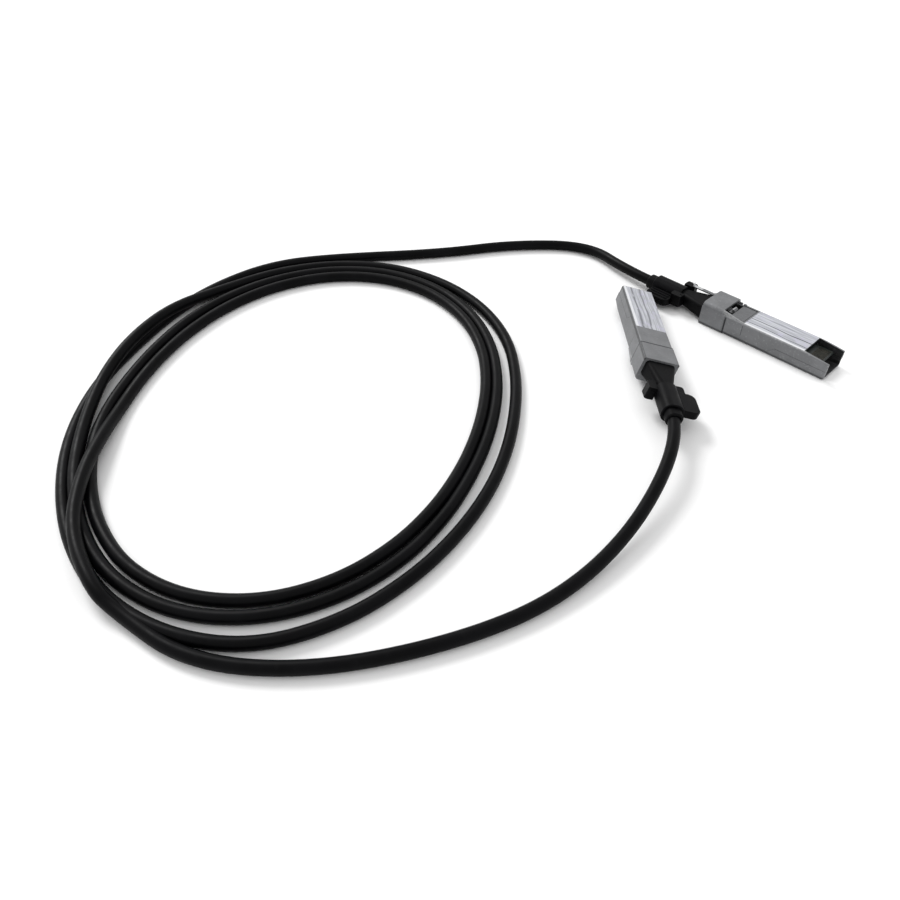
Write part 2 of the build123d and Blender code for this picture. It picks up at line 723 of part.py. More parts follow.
# Free stretch of the cable from plug A to the coil
tail_a_route = [Vector(jacket_start, 0, cable_axis_height), Vector(*tail_a_points[0], cable_axis_height)]
tail_a_route += [Vector(x, y, cable_radius) for x, y in tail_a_points[1:]]
with BuildPart() as cable_tail_a:
    with BuildLine() as tail_a_path:
        FilletPolyline(*tail_a_route, radius=run_radii(tail_a_route, tail_a_first_radius))
    with BuildSketch(Plane(tail_a_path.line @ 0, z_dir=tail_a_path.line % 0)):
        Circle(cable_radius)
    sweep(path=tail_a_path.line)

# Free stretch of the cable from plug B to the coil
tail_b_route = [on_plug_b(jacket_start, 0, cable_axis_height), on_plug_b(tail_b_start, 0, cable_axis_height)]
tail_b_route += [Vector(*tail_b_points[0], tail_b_height)]
tail_b_route += [Vector(x, y, cable_radius) for x, y in tail_b_points[1:]]
with BuildPart() as cable_tail_b:
    with BuildLine() as tail_b_path:
        FilletPolyline(*tail_b_route, radius=run_radii(tail_b_route, tail_b_first_radius))
    with BuildSketch(Plane(tail_b_path.line @ 0, z_dir=tail_b_path.line % 0)):
        Circle(cable_radius)
    sweep(path=tail_b_path.line)


def coil_point(angle, reach):
    """Point of the coil at an angle from its first heading and a distance from its centre."""
    heading = math.radians(coil_first_heading + angle)
    return (coil_centre[0] + reach * math.cos(heading), coil_centre[1] + reach * math.sin(heading))


# Outer shape of the coil: strands side by side, with a low hump where the last one crosses over
coil_step = 360 / len(coil_inner_reach)
inner_rim = [coil_point(i * coil_step, reach - cable_radius) for i, reach in enumerate(coil_inner_reach)]
outer_rim = [coil_point(i * coil_step, reach + cable_radius) for i, reach in enumerate(coil_outer_reach)]
crossing_angles = [crossing_start + i * crossing_step for i in range(len(crossing_reach))]
hump_inner = [coil_point(a, r - cable_radius) for a, r in zip(crossing_angles, crossing_reach)]
hump_outer = [coil_point(a, r + cable_radius) for a, r in zip(crossing_angles, crossing_reach)]
with BuildPart() as cable_coil:
    with BuildSketch(Plane.XY):
        with BuildLine():
            Spline(*outer_rim, periodic=True)
        make_face()
        with BuildLine():
            Spline(*inner_rim, periodic=True)
        make_face(mode=Mode.SUBTRACT)
    extrude(amount=cable_diameter)
    with BuildSketch(Plane.XY.offset(cable_radius)):
        with BuildLine():
            Spline(*hump_inner)
            Line(hump_inner[-1], hump_outer[-1])
            Spline(*reversed(hump_outer))
            Line(hump_outer[0], hump_inner[0])
        make_face()
    extrude(amount=cable_diameter + cable_radius)

# Each plug holds the same pieces; plug B's soft tab lies to the other side
plug_pieces = {
    "base_shell": base_shell,
    "cover_shell": cover_shell,
    "paddle_card": paddle_card,
    "card_contacts": card_contacts,
    "memory_chip": memory_chip,
    "signal_pairs": signal_pairs,
    "crimp_ferrule": crimp_ferrule,
    "strain_relief": strain_relief,
    "pull_tab": pull_tab,
    "release_slider": release_slider,
    "return_spring": return_spring,
    "latch_lever": latch_lever,
    "lever_pin": lever_pin,
    "emi_gasket": emi_gasket,
    "cover_label": cover_label,
    "latch_label": latch_label,
}

os.makedirs("parts", exist_ok=True)
for name, piece in plug_pieces.items():
    piece.part.label = name + "_a"
    export_step(piece.part, "parts/" + piece.part.label + ".step")
    turned = mirror(piece.part, about=Plane.XZ) if name == "pull_tab" else piece.part
    on_b = plug_b * turned
    on_b.label = name + "_b"
    export_step(on_b, "parts/" + on_b.label + ".step")

cable_tail_a.part.label = "cable_tail_a"
export_step(cable_tail_a.part, "parts/cable_tail_a.step")
cable_coil.part.label = "cable_coil"
export_step(cable_coil.part, "parts/cable_coil.step")
cable_tail_b.part.label = "cable_tail_b"
export_step(cable_tail_b.part, "parts/cable_tail_b.step")
for piece, path in ((cable_tail_a, tail_a_path), (cable_tail_b, tail_b_path)):
    length = sum(edge.length for edge in path.line.edges())
    section = math.pi * cable_radius**2
    print(piece.part.label, "length", round(length, 1), "volume", round(piece.part.volume / section, 1))
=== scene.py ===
import math

import bpy
import numpy as np
from mathutils import Euler, Matrix, Vector


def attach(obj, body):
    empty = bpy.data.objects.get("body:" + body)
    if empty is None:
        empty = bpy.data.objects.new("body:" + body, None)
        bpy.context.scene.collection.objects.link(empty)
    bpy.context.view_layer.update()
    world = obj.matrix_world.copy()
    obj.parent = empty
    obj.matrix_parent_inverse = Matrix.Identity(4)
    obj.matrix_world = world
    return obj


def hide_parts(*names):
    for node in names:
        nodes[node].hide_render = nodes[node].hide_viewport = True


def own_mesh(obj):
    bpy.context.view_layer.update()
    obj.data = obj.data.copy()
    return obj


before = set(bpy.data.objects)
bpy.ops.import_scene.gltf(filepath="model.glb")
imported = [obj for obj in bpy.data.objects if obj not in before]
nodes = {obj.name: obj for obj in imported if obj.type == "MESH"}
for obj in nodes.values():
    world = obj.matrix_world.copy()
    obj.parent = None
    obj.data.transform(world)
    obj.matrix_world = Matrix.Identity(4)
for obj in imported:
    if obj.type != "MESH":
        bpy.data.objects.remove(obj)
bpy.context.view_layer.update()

scene = bpy.context.scene
mm = 0.001

# Camera: above plug A's left side, looking down on the coil
view = {
    "place": (-71.4, 273.3, 184.0),
    "down": 43.04,
    "heading": 226.25,
    "lens": 31.0,
}
camera = bpy.data.cameras.new("camera")
cameraObject = bpy.data.objects.new("camera", camera)
scene.collection.objects.link(cameraObject)
cameraObject.location = [v * mm for v in view["place"]]
cameraObject.rotation_euler = (math.radians(90 - view["down"]), 0, math.radians(view["heading"]))
camera.lens = view["lens"]
camera.sensor_width = 36
camera.clip_start, camera.clip_end = 0.005, 20
scene.camera = cameraObject

# Where plug B lies; plug A lies at the frame's origin
plugB = {
    "place": (81.6, 16.6, 9.357),
    "turn": (165.0, -2.5413, 135.5),
}


def plugMatrix(side):
    if side == "a":
        return Matrix.Identity(4)
    turn = Euler([math.radians(a) for a in plugB["turn"]], "XYZ").to_matrix().to_4x4()
    return Matrix.Translation([v * mm for v in plugB["place"]]) @ turn


# Cable: one line from plug A's boot round the coil to plug B's boot, in millimetres
cable = {
    "diameter": 4.4,
    "press": 0.15,
    "inside_boot": 60.0,
    "straight_in_boot": 67.0,
    "axis": 4.25,
    "centre": (121.8, 162.7),
    "first_heading": 226.17,
    "turn_points": 24,
    "inner_reach": 76.77,
    "waves": [(-0.03, 4.35), (-11.6, 5.12), (-0.27, -0.39), (0.53, -0.67)],
    "tail_a": [(98, 0.01, 4.25), (127, -8.5, 2.2), (153, 17, 2.2), (170.5, 48, 2.2)],
    "tail_b": [(86, 252.4, 2.2), (58, 246.5, 2.2), (33, 224.5, 2.2), (13, 191, 2.2), (2.2, 158, 2.2),
               (3, 121.5, 4.6)],
    "last_start": 95.0,
}

# How far each pass round the coil lies outside the innermost strand, by angle
lanes = [
    {90: 15.6, 105: 18.2, 118: 17.6, 132: 16.5, 142: 14.6, 153: 14.0, 164: 14.4, 180: 13.6, 194: 12.2, 205: 10.6,
     220: 9.2, 235: 9.9, 250: 11.6, 262: 13.6, 270: 14.8, 278: 14.8, 288: 13.4, 308: 12.3, 325: 12.4, 340: 12.1,
     358: 11.5, 374: 11.6, 391: 12.0, 400: 11.4, 412: 10.3, 420: 9.6, 430: 9.5, 450: 9.7},
    {90: 9.7, 105: 11.4, 120: 13.1, 130: 13.9, 140: 14.1, 152: 13.6, 160: 12.7, 168: 11.8, 176: 10.4, 188: 8.9,
     205: 6.6, 220: 5.2, 240: 5.3, 262: 5.7, 280: 5.8, 298: 5.6, 313: 5.0, 322: 4.25, 345: 4.25, 362: 4.25, 375: 4.25,
     390: 4.25, 405: 4.25, 420: 4.3, 435: 4.6, 450: 4.87},
    {90: 4.87, 108: 5.6, 125: 6.3, 140: 6.0, 150: 5.1, 160: 4.5, 175: 4.7, 190: 4.4, 205: 2.2, 220: 0.2, 240: 0.0,
     270: 0.0, 300: 0.0, 360: 0.0, 420: 0.0, 450: 0.0},
    {90: 0.0, 120: 0.0, 150: 0.0, 190: 0.0, 200: 0.5, 210: 2.8, 220: 6.0, 229: 8.6, 238: 10.6, 246: 13.2},
]
laidUnder = {0: [], 1: [0, 2], 2: [0], 3: [0, 1, 2]}
lastAngle = {0: 450, 1: 450, 2: 450, 3: 247}


def coilRadius(angle):
    # reach = mean + sum of c cos(k t) + s sin(k t)
    t = math.radians(angle)
    waves = enumerate(cable["waves"], start=1)
    return cable["inner_reach"] + sum(c * math.cos(k * t) + s * math.sin(k * t) for k, (c, s) in waves)


def laneOffset(index, angle):
    table = lanes[index]
    return float(np.interp(angle, list(table), list(table.values())))


def laneHeight(index, angle, offset):
    # a strand lies on the floor unless it overlaps one that was laid below it
    low = cable["diameter"] / 2
    # two strands that touch press into each other a little, which leaves no slit between them
    contact = cable["diameter"] - cable["press"]
    lift = 0.0
    for other in laidUnder[index]:
        turned = angle if angle <= 450 else angle - 360
        otherOffset = laneOffset(other, turned)
        gap = abs(offset - otherOffset)
        base = laneHeight(other, turned, otherOffset) - low if other != 0 else 0.0
        if gap < contact:
            lift = max(lift, base + math.sqrt(contact * contact - gap * gap))
    return low + lift


def coilPoints():
    step = 360 / cable["turn_points"]
    grow = 1 / math.cos(math.radians(step / 2))
    points = []
    for index in range(len(lanes)):
        for angle in np.arange(90, lastAngle[index] - 0.1, step):
            offset = laneOffset(index, angle)
            reach = (coilRadius(angle) + offset) * grow
            turn = math.radians(cable["first_heading"] + angle)
            x = cable["centre"][0] + reach * math.cos(turn)
            y = cable["centre"][1] + reach * math.sin(turn)
            points.append((x, y, laneHeight(index, angle, offset)))
    return points


def cableRoute():
    toB = plugMatrix("b")
    # two points on each boot's own axis keep the cable centred where it leaves
    starts = [(x, 0, cable["axis"]) for x in (cable["inside_boot"], cable["straight_in_boot"])]
    ends = [toB @ Vector((x * mm, 0, cable["axis"] * mm)) / mm
            for x in (cable["last_start"], cable["straight_in_boot"], cable["inside_boot"])]
    return starts + cable["tail_a"] + coilPoints() + cable["tail_b"] + [tuple(end) for end in ends]


def curveLength(data):
    line = data.copy()
    line.bevel_depth = 0
    probe = bpy.data.objects.new("probe", line)
    scene.collection.objects.link(probe)
    bpy.context.view_layer.update()
    flat = bpy.data.meshes.new_from_object(probe.evaluated_get(bpy.context.evaluated_depsgraph_get()))
    places = np.empty(len(flat.vertices) * 3)
    flat.vertices.foreach_get("co", places)
    bpy.data.objects.remove(probe)
    return float(np.linalg.norm(np.diff(places.reshape(-1, 3), axis=0), axis=1).sum())


def makeCable():
    route = cableRoute()
    data = bpy.data.curves.new("cable", "CURVE")
    data.dimensions = "3D"
    spline = data.splines.new("NURBS")
    spline.points.add(len(route) - 1)
    for point, place in zip(spline.points, route):
        point.co = (*[v * mm for v in place], 1)
        point.radius = cable["diameter"] * mm / 2
    spline.order_u = 3
    spline.use_endpoint_u = True
    spline.resolution_u = 10
    # a bevel of 1 m times each point's radius, so that the curve's box is as thin as the cable
    data.bevel_depth = 1
    data.bevel_resolution = 5
    data.use_fill_caps = True
    piece = bpy.data.objects.new("cable", data)
    scene.collection.objects.link(piece)
    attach(piece, "cable_assembly")
    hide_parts("cable_tail_a", "cable_coil", "cable_tail_b")
    length = curveLength(data)
    print("cable", len(route), "points, length", round(length, 4))
    return piece


cablePiece = makeCable()

# Return springs: a round wire wound on the slider's rear, one end on the hood's rear wall
spring = {
    "start": 47.9,
    "end": 53.7,
    "side": 3.9,
    "height": 8.55,
    "radius": 0.7,
    "wire": 0.12,
    "turns": 5,
    "travel": 2.5,
    "ring_points": 10,
    "turn_steps": 28,
}


def gridMesh(name, rows):
    # rows: stations x ring points x 3; faces join each ring to the next, and fans close both ends
    stations, around = rows.shape[:2]
    places = np.concatenate([rows.reshape(-1, 3), rows[:1].mean(axis=1), rows[-1:].mean(axis=1)])
    station, ring = np.meshgrid(np.arange(stations - 1), np.arange(around), indexing="ij")
    here = station * around + ring
    beside = station * around + (ring + 1) % around
    quads = np.stack([here, beside, beside + around, here + around], axis=-1).reshape(-1, 4)
    k = np.arange(around)
    first, last = stations * around, stations * around + 1
    base = (stations - 1) * around
    capA = np.stack([np.full(around, first), (k + 1) % around, k], axis=1)
    capB = np.stack([np.full(around, last), base + k, base + (k + 1) % around], axis=1)
    mesh = bpy.data.meshes.new(name)
    mesh.from_pydata(places.tolist(), [], quads.tolist() + capA.tolist() + capB.tolist())
    mesh.shade_smooth()
    return mesh


def makeSpring(side):
    # centre line: x runs evenly, y and z turn on a circle; the wire is a ring square to it
    steps = spring["turns"] * spring["turn_steps"] + 1
    share = np.linspace(0, 1, steps)
    turn = share * spring["turns"] * 2 * math.pi
    inset = spring["wire"]
    x = spring["start"] + inset + share * (spring["end"] - spring["start"] - 2 * inset)
    outward = np.stack([np.zeros(steps), np.cos(turn), np.sin(turn)], axis=1)
    axisLine = np.stack([x, np.full(steps, spring["side"]), np.full(steps, spring["height"])], axis=1)
    centre = outward * spring["radius"] + axisLine
    along = np.gradient(centre, axis=0)
    along /= np.linalg.norm(along, axis=1)[:, None]
    across = np.cross(along, outward)
    ring = np.linspace(0, 2 * math.pi, spring["ring_points"], endpoint=False)
    rows = centre[:, None] + spring["wire"] * (
        outward[:, None] * np.cos(ring)[None, :, None] + across[:, None] * np.sin(ring)[None, :, None])
    toPlug = np.array(plugMatrix(side))
    rows = rows * mm @ toPlug[:3, :3].T + toPlug[:3, 3]
    piece = bpy.data.objects.new("spring_wire_" + side, gridMesh("spring_wire_" + side, rows))
    scene.collection.objects.link(piece)
    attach(piece, "cable_assembly")
    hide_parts("return_spring_" + side)
    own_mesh(piece)
    return piece


springPieces = {side: makeSpring(side) for side in "ab"}
print("springs", len(springPieces))


# Material helpers
def linear(hexColour):
    values = [int(hexColour[i:i + 2], 16) / 255 for i in (0, 2, 4)]
    return (*[v / 12.92 if v <= 0.04045 else ((v + 0.055) / 1.055) ** 2.4 for v in values], 1)


def addNode(tree, kind, links=None, **values):
    node = tree.nodes.new(kind)
    for key, value in values.items():
        if hasattr(node, key):
            setattr(node, key, value)
        else:
            node.inputs[key.replace("_", " ")].default_value = value
    for socket, source in (links or {}).items():
        if hasattr(source, "links"):
            tree.links.new(source, node.inputs[socket])
        else:
            node.inputs[socket].default_value = source
    return node


def combine(tree, operation, first, second=0.0, clamp=False):
    node = addNode(tree, "ShaderNodeMath", {0: first, 1: second}, operation=operation)
    node.use_clamp = clamp
    return node.outputs[0]


def product(tree, first, *others):
    for other in others:
        first = combine(tree, "MULTIPLY", first, other)
    return first


def rise(tree, value, low, high):
    # 0 below low, 1 above high, smooth between; high below low turns it round
    if high > low:
        ends = {1: low, 2: high, 3: 0.0, 4: 1.0}
    else:
        ends = {1: high, 2: low, 3: 1.0, 4: 0.0}
    return addNode(tree, "ShaderNodeMapRange", {0: value, **ends}, interpolation_type="SMOOTHSTEP").outputs[0]


def between(tree, value, low, high, soft):
    opens = rise(tree, value, low - soft, low + soft)
    closes = rise(tree, value, high + soft, high - soft)
    return product(tree, opens, closes)


def spread(tree, value, low, high):
    return addNode(tree, "ShaderNodeMapRange", {0: value, 1: 0.3, 2: 0.7, 3: low, 4: high}).outputs[0]


def blendColour(tree, factor, first, second):
    node = addNode(tree, "ShaderNodeMix", data_type="RGBA")
    for index, value in ((0, factor), (6, first), (7, second)):
        if hasattr(value, "links"):
            tree.links.new(value, node.inputs[index])
        else:
            node.inputs[index].default_value = linear(value) if isinstance(value, str) else value
    return node.outputs[2]


def noise(tree, vector, size, detail=2.0, stretch=(1, 1, 1)):
    # size in millimetres; stretch lengthens the grain along an axis
    scaled = addNode(tree, "ShaderNodeMapping", {0: vector}, Scale=[1 / (size * s) for s in stretch])
    return addNode(tree, "ShaderNodeTexNoise", {"Vector": scaled.outputs[0]}, Scale=1.0, Detail=detail).outputs[0]


def localPlace(tree, side):
    # Object coordinates turned back into the plug's own frame, in millimetres
    place = addNode(tree, "ShaderNodeTexCoord").outputs["Object"]
    if side == "b":
        place = addNode(tree, "ShaderNodeMapping", {0: place}, vector_type="TEXTURE",
                        Location=[v * mm for v in plugB["place"]],
                        Rotation=[math.radians(a) for a in plugB["turn"]]).outputs[0]
    scaled = addNode(tree, "ShaderNodeVectorMath", {0: place}, operation="SCALE", Scale=1 / mm)
    parts = addNode(tree, "ShaderNodeSeparateXYZ", {0: scaled.outputs[0]})
    return scaled.outputs[0], parts.outputs[0], parts.outputs[1], parts.outputs[2]


def newMaterial(name, **values):
    material = bpy.data.materials.new(name)
    material.use_nodes = True
    tree = material.node_tree
    shader = tree.nodes["Principled BSDF"]
    for key, value in values.items():
        shader.inputs[key.replace("_", " ")].default_value = value
    return material, tree, shader


def finishMaterial(tree, shader, colour, rough, height, depth):
    tree.links.new(colour, shader.inputs["Base Color"])
    tree.links.new(rough, shader.inputs["Roughness"])
    bump = addNode(tree, "ShaderNodeBump", {"Height": height}, Strength=0.6, Distance=depth * mm)
    tree.links.new(bump.outputs[0], shader.inputs["Normal"])


# Die-cast zinc, tumbled matte: mottled grey, worn light along its edges, dark inside
castTone = {
    "dark": "6c6d6f",
    "light": "767779",
    "worn": "a9aaab",
    # painted shade for the lowest band of the sides
    "low": "3a3b3c",
    # painted shade for the inner walls of the mouth and the latch pocket
    "recess_shade": "0a0a0b",
    # dark seam and parting lines; also the colour of the painted groove shade
    "seam": "2c2d2f",
    "seam_station": 36.5,
    "groove": (44.0, 44.65),
    # painted shade in the groove and on the head's front rim, strong on plug B, faint on plug A
    "groove_painted_shade": {"a": 0.15, "b": 1.0},
    "shade_rim_width": 0.45,
    "parting": (3.9, 1.2, 21.5, 24.2),
}


def dieCast(side):
    material, tree, shader = newMaterial("die_cast_zinc_" + side, Metallic=0.35)
    place, x, y, z = localPlace(tree, side)
    across = combine(tree, "ABSOLUTE", y)
    cloud = noise(tree, place, 5.0, 3.0)
    grain = noise(tree, place, 0.22, 3.0)
    speck = noise(tree, place, 0.9, 2.0)
    colour = blendColour(tree, rise(tree, cloud, 0.3, 0.7), castTone["dark"], castTone["light"])
    colour = blendColour(tree, product(tree, rise(tree, speck, 0.58, 0.7), 0.22), colour, castTone["worn"])
    # the long edges of the deck and the hood, where handling has rubbed them
    edge = product(tree, rise(tree, across, 6.2, 6.62), rise(tree, z, 7.7, 8.35), rise(tree, x, 46.2, 44.0))
    shoulder = product(tree, rise(tree, across, 5.9, 6.2), rise(tree, z, 8.3, 8.6), rise(tree, x, 46.6, 45.6))
    front = product(tree, rise(tree, x, 0.7, 0.1), rise(tree, speck, 0.4, 0.6))
    worn = combine(tree, "ADD", combine(tree, "ADD", edge, shoulder), front, clamp=True)
    colour = blendColour(tree, product(tree, worn, spread(tree, speck, 0.3, 0.75)), colour, castTone["worn"])
    # painted shade on the lowest band of the sides, where they turn down to the floor
    footShade = product(tree, rise(tree, z, 1.5, 0.9), rise(tree, across, 6.3, 6.6), spread(tree, speck, 0.7, 0.9))
    colour = blendColour(tree, footShade, colour, castTone["low"])
    # upright seam on the left wall
    seamX = castTone["seam_station"]
    seam = product(tree, between(tree, x, seamX - 0.1, seamX + 0.1, 0.06),
                   between(tree, z, 2.75, 7.5, 0.15), rise(tree, y, 6.4, 6.6))
    # parting line between the shells: high beside the card, low behind it
    high, low, rampStart, rampEnd = castTone["parting"]
    slope = addNode(tree, "ShaderNodeMapRange", {0: x, 1: rampStart, 2: rampEnd, 3: high, 4: low}).outputs[0]
    away = combine(tree, "ABSOLUTE", combine(tree, "SUBTRACT", z, slope))
    parting = product(tree, rise(tree, away, 0.12, 0.05), rise(tree, across, 6.5, 6.65), rise(tree, x, 44.1, 43.9))
    # painted shade in the groove before the head and on the front rim of the head's sides, strong on plug B and faint
    # on plug A
    grooveStart, grooveEnd = castTone["groove"]
    groove = between(tree, x, grooveStart, grooveEnd, 0.02)
    rimEnd = grooveEnd + castTone["shade_rim_width"]
    rimShade = product(tree, between(tree, x, grooveEnd, rimEnd, 0.08), rise(tree, across, 6.9, 6.97))
    groove = product(tree, combine(tree, "MAXIMUM", groove, rimShade), castTone["groove_painted_shade"][side])
    seamsAndShade = combine(tree, "MAXIMUM", combine(tree, "MAXIMUM", seam, product(tree, parting, 0.8)), groove)
    # the seam colour also paints the shade in the groove and on the rim
    colour = blendColour(tree, seamsAndShade, colour, castTone["seam"])
    # painted shade on the inner walls of the mouth and the floor of the latch pocket, broken by streaks
    mouth = product(tree, rise(tree, across, 6.05, 6.0), rise(tree, x, 10.6, 10.4), rise(tree, x, 0.02, 0.12))
    bay = product(tree, rise(tree, across, 5.9, 5.82), rise(tree, z, 8.25, 8.1), rise(tree, z, 0.1, 0.2),
                  rise(tree, x, 0.3, 0.5), rise(tree, x, 55.3, 55.1))
    recess_shade = combine(tree, "ADD", mouth, bay, clamp=True)
    streak = spread(tree, noise(tree, place, 0.5, 2.0, (6, 1, 1)), 0.75, 1.0)
    colour = blendColour(tree, product(tree, recess_shade, streak), colour, castTone["recess_shade"])
    rough = spread(tree, speck, 0.42, 0.56)
    height = combine(tree, "SUBTRACT", combine(tree, "ADD", product(tree, grain, 0.5), product(tree, speck, 0.5)), seam)
    finishMaterial(tree, shader, colour, rough, height, 0.05)
    return material


# Label film: silver polyester with plain rules, no lettering
labelTone = {
    "dark": "9fa1a8",
    "light": "c0c2c8",
    "patch": "bdb9cf",
    "rule": "3d3e46",
    # painted highlight along the label's +y edge
    "edge": "e4e5e8",
    "highlight_band": (5.0, 5.5),
}
# station across the label, width, strength
latchRules = [(3.9, 0.13, 0.9), (0.4, 0.17, 0.95), (-1.9, 0.07, 0.35), (-3.4, 0.1, 0.45), (-4.8, 0.07, 0.3)]
coverRules = [(3.0, 0.3, 0.7), (1.1, 0.1, 0.35), (-0.6, 0.26, 0.65), (-2.5, 0.13, 0.45), (-4.2, 0.1, 0.35)]


def labelFilm(name, side, rules):
    material, tree, shader = newMaterial(f"label_film_{name}_{side}", Metallic=0.1)
    place, x, y, z = localPlace(tree, side)
    streak = noise(tree, place, 1.0, 3.0, (12, 1, 1))
    patch = noise(tree, place, 3.5, 2.0)
    colour = blendColour(tree, rise(tree, streak, 0.35, 0.65), labelTone["dark"], labelTone["light"])
    colour = blendColour(tree, product(tree, rise(tree, patch, 0.5, 0.7), 0.5), colour, labelTone["patch"])
    # the printed rules wander a little with the film
    wander = combine(tree, "MULTIPLY", combine(tree, "SUBTRACT", noise(tree, place, 7.0, 1.0, (2, 1, 1)), 0.5), 1.6)
    bent = combine(tree, "ADD", y, wander)
    broken = rise(tree, noise(tree, place, 2.2, 1.0, (3, 1, 1)), 0.28, 0.38)
    for station, width, strength in rules:
        away = combine(tree, "ABSOLUTE", combine(tree, "SUBTRACT", bent, station))
        line = product(tree, rise(tree, away, 2 * width, width), strength, broken)
        colour = blendColour(tree, line, colour, labelTone["rule"])
    # painted highlight: a light band along the label's +y edge
    edge = rise(tree, y, *labelTone["highlight_band"])
    colour = blendColour(tree, product(tree, edge, 0.8), colour, labelTone["edge"])
    rough = spread(tree, streak, 0.3, 0.42)
    finishMaterial(tree, shader, colour, rough, combine(tree, "ADD", streak, patch), 0.02)
    return material


# Moulded rubber of the boots and nylon of the pull tabs: near black, fine matte grain
mouldTone = {
    "scuff": "202024",
    "mould_line": 4.25,
    "specular": 0.06,
}


def mouldedBlack(name, side, dark, light, rough):
    material, tree, shader = newMaterial(f"{name}_{side}")
    shader.inputs["Specular IOR Level"].default_value = mouldTone["specular"]
    place, x, y, z = localPlace(tree, side)
    cloud = noise(tree, place, 4.0, 3.0)
    grain = noise(tree, place, 0.18, 2.0)
    colour = blendColour(tree, rise(tree, cloud, 0.35, 0.65), dark, light)
    scuff = rise(tree, noise(tree, place, 0.6, 3.0, (4, 1, 1)), 0.62, 0.75)
    colour = blendColour(tree, product(tree, scuff, 0.25), colour, mouldTone["scuff"])
    # mould line along the middle of both sides
    away = combine(tree, "ABSOLUTE", combine(tree, "SUBTRACT", z, mouldTone["mould_line"]))
    line = product(tree, rise(tree, away, 0.12, 0.04), rise(tree, x, 56.0, 57.0))
    height = combine(tree, "ADD", product(tree, grain, 0.6), product(tree, line, 0.8))
    finishMaterial(tree, shader, colour, spread(tree, cloud, rough - 0.06, rough + 0.08), height, 0.04)
    return material


# Cable jacket: extruded black polymer, satin, with faint lay marks
jacketTone = {
    "dark": "020203",
    "light": "070709",
    "lay": "0e0e10",
    "specular": 0.07,
}


def cableJacket():
    material, tree, shader = newMaterial("cable_jacket_black")
    shader.inputs["Specular IOR Level"].default_value = jacketTone["specular"]
    place = addNode(tree, "ShaderNodeVectorMath", {0: addNode(tree, "ShaderNodeTexCoord").outputs["Object"]},
                    operation="SCALE", Scale=1 / mm).outputs[0]
    cloud = noise(tree, place, 14.0, 3.0)
    fine = noise(tree, place, 0.5, 2.0)
    lay = noise(tree, place, 3.0, 2.0)
    colour = blendColour(tree, rise(tree, cloud, 0.35, 0.65), jacketTone["dark"], jacketTone["light"])
    colour = blendColour(tree, product(tree, rise(tree, lay, 0.55, 0.7), 0.3), colour, jacketTone["lay"])
    height = combine(tree, "ADD", product(tree, fine, 0.3), product(tree, lay, 0.7))
    finishMaterial(tree, shader, colour, spread(tree, lay, 0.36, 0.5), height, 0.05)
    return material


# Sheet and wire metals: brushed steel, brighter or darker, with fine drawing lines, and on some a painted glint band
# along x
def sheetMetal(name, side, dark, light, rough, metallic=1.0, glintStart=None, glintEnd=None):
    material, tree, shader = newMaterial(f"{name}_{side}", Metallic=metallic)
    place, x, y, z = localPlace(tree, side)
    brush = noise(tree, place, 0.12, 2.0, (14, 1, 1))
    cloud = noise(tree, place, 2.5, 2.0)
    colour = blendColour(tree, spread(tree, brush, 0.0, 1.0), dark, light)
    colour = blendColour(tree, product(tree, rise(tree, cloud, 0.5, 0.7), 0.35), colour, dark)
    # painted glint: a near-white band along x, broken by the cloud
    if glintStart is not None:
        paintedGlint = product(tree, between(tree, x, glintStart, glintEnd, 0.15), rise(tree, cloud, 0.3, 0.5))
        colour = blendColour(tree, product(tree, paintedGlint, 0.8), colour, "d2d3d4")
    finishMaterial(tree, shader, colour, spread(tree, brush, rough - 0.07, rough + 0.09), brush, 0.02)
    return material


# Card: dark solder mask over faint tracks; pads: hard gold, painted dark as shade of the deep mouth
def cardMask(side):
    material, tree, shader = newMaterial("solder_mask_" + side)
    place = localPlace(tree, side)[0]
    track = addNode(tree, "ShaderNodeTexWave", {"Vector": place}, wave_type="BANDS", bands_direction="Y",
                    Scale=0.6, Distortion=1.2, Detail=1.0).outputs["Fac"]
    cloud = noise(tree, place, 1.6, 2.0)
    colour = blendColour(tree, rise(tree, track, 0.55, 0.75), "0a100e", "12201a")
    colour = blendColour(tree, product(tree, rise(tree, cloud, 0.5, 0.7), 0.4), colour, "191b1a")
    finishMaterial(tree, shader, colour, spread(tree, cloud, 0.35, 0.55), combine(tree, "ADD", track, cloud), 0.03)
    return material


def padGold(side):
    material, tree, shader = newMaterial("hard_gold_" + side, Metallic=1.0)
    place = localPlace(tree, side)[0]
    rub = noise(tree, place, 0.3, 2.0, (8, 1, 1))
    # the gold is painted dark: painted shade of the deep mouth
    colour = blendColour(tree, rise(tree, rub, 0.4, 0.65), "1a1916", "47433a")
    finishMaterial(tree, shader, colour, spread(tree, rub, 0.3, 0.5), rub, 0.01)
    return material


def chipPackage(side):
    # black epoxy body, tinned leads beyond its sides
    material, tree, shader = newMaterial("epoxy_package_" + side)
    place, x, y, z = localPlace(tree, side)
    grain = noise(tree, place, 0.12, 3.0)
    leads = rise(tree, combine(tree, "ABSOLUTE", y), 1.93, 1.97)
    colour = blendColour(tree, spread(tree, grain, 0.0, 1.0), "17181a", "232427")
    colour = blendColour(tree, leads, colour, "a5a7aa")
    finishMaterial(tree, shader, colour, spread(tree, grain, 0.45, 0.6), grain, 0.02)
    return material


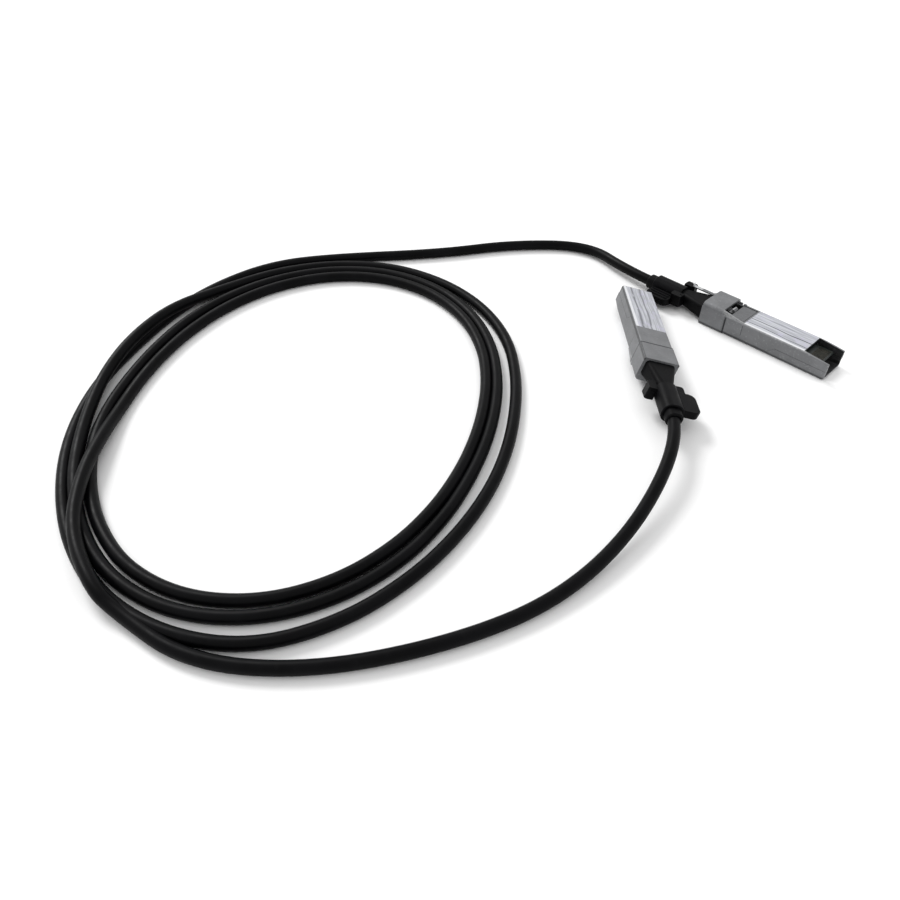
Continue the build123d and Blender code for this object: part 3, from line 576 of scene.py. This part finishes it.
def pairFoil(side):
    # insulated pairs wrapped in silver tape, the lap shows as slanting lines
    material, tree, shader = newMaterial("pair_foil_" + side, Metallic=0.7)
    place = localPlace(tree, side)[0]
    lap = addNode(tree, "ShaderNodeTexWave", {"Vector": place}, wave_type="BANDS", bands_direction="DIAGONAL",
                  Scale=0.35, Distortion=0.6, Detail=1.0).outputs["Fac"]
    crease = noise(tree, place, 0.6, 3.0)
    colour = blendColour(tree, rise(tree, lap, 0.4, 0.9), "9fa2a8", "c9cbd0")
    colour = blendColour(tree, product(tree, rise(tree, crease, 0.5, 0.7), 0.4), colour, "86898f")
    finishMaterial(tree, shader, colour, spread(tree, crease, 0.28, 0.45), combine(tree, "ADD", lap, crease), 0.05)
    return material


def gasketRubber(side):
    material, tree, shader = newMaterial("conductive_rubber_" + side)
    place = localPlace(tree, side)[0]
    fleck = noise(tree, place, 0.15, 3.0)
    colour = blendColour(tree, rise(tree, fleck, 0.5, 0.68), "2b2c2e", "5a5b5e")
    finishMaterial(tree, shader, colour, spread(tree, fleck, 0.6, 0.8), fleck, 0.05)
    return material


def paint(node, material):
    piece = nodes[node]
    piece.data.materials.clear()
    piece.data.materials.append(material)


for side in "ab":
    cast = dieCast(side)
    steel = sheetMetal("drawn_steel", side, "8f9092", "c4c5c6", 0.32)
    finishes = {
        "base_shell": cast,
        "cover_shell": cast,
        "cover_label": labelFilm("cover", side, coverRules),
        "latch_label": labelFilm("latch", side, latchRules),
        "strain_relief": mouldedBlack("boot_rubber", side, "070708", "0c0c0d", 0.5),
        "pull_tab": mouldedBlack("tab_nylon", side, "060607", "0b0b0d", 0.42),
        # a painted glint band from x 62.5 to 68.0
        "release_slider": sheetMetal("slider_steel", side, "5a5b5d", "8e8f91", 0.27, 1.0, 62.5, 68.0),
        "return_spring": steel,
        "lever_pin": steel,
        # a painted glint band from x 44.4 to 45.9
        "latch_lever": sheetMetal("lever_steel", side, "595a5c", "747577", 0.42, 0.55, 44.4, 45.9),
        "paddle_card": cardMask(side),
        "card_contacts": padGold(side),
        "memory_chip": chipPackage(side),
        "signal_pairs": pairFoil(side),
        "crimp_ferrule": sheetMetal("ferrule_metal", side, "8d8468", "b4a988", 0.38),
        "emi_gasket": gasketRubber(side),
    }
    for name, material in finishes.items():
        paint(name + "_" + side, material)
    springPieces[side].data.materials.append(steel)
cablePiece.data.materials.append(cableJacket())
print("finishes", len(bpy.data.materials))

# Floor: white to the camera, with the cable's shadow
studio = {
    "floor": "fbfbfb",
    "sky": 0.78,
    "horizon": 0.3,
    "sun": 1.9,
    "sun_angle": 22.0,
    "sun_place": (0.9, -0.1, 0.75),
}
floorMesh = bpy.data.meshes.new("floor")
floorMesh.from_pydata([(-9, -9, 0), (9, -9, 0), (9, 9, 0), (-9, 9, 0)], [], [(0, 1, 2, 3)])
floor = bpy.data.objects.new("floor", floorMesh)
scene.collection.objects.link(floor)
floorMaterial, _, floorShader = newMaterial("floor_white", Roughness=0.95)
floorShader.inputs["Base Color"].default_value = linear(studio["floor"])
floorShader.inputs["Specular IOR Level"].default_value = 0.0
floorMesh.materials.append(floorMaterial)

# Soft light: a sky that is brighter overhead, and one broad sun
world = bpy.data.worlds.new("world")
scene.world = world
world.use_nodes = True
sky = world.node_tree
direction = addNode(sky, "ShaderNodeTexCoord").outputs["Generated"]
upward = addNode(sky, "ShaderNodeSeparateXYZ", {0: direction}).outputs[2]
level = addNode(sky, "ShaderNodeMapRange",
                {0: upward, 1: 0.0, 2: 0.8, 3: studio["horizon"], 4: studio["sky"] * 1.25})
# what the camera, gloss and glass see past the floor is plain white
rays = addNode(sky, "ShaderNodeLightPath").outputs
seen = combine(sky, "ADD", rays["Is Camera Ray"], rays["Is Glossy Ray"])
seen = combine(sky, "ADD", seen, rays["Is Transmission Ray"], clamp=True)
strength = addNode(sky, "ShaderNodeMix", {0: seen, 2: level.outputs[0], 3: 1.0}, data_type="FLOAT")
sky.links.new(strength.outputs[0], sky.nodes["Background"].inputs["Strength"])
sky.nodes["Background"].inputs["Color"].default_value = (1, 1, 1, 1)

sunData = bpy.data.lights.new("sun", "SUN")
sunData.energy = studio["sun"]
sunData.angle = math.radians(studio["sun_angle"])
sun = bpy.data.objects.new("sun", sunData)
scene.collection.objects.link(sun)
sun.rotation_euler = Vector(studio["sun_place"]).to_track_quat("Z", "Y").to_euler()
scene.view_settings.view_transform = "Standard"
print("studio set")

bpy.context.view_layer.update()
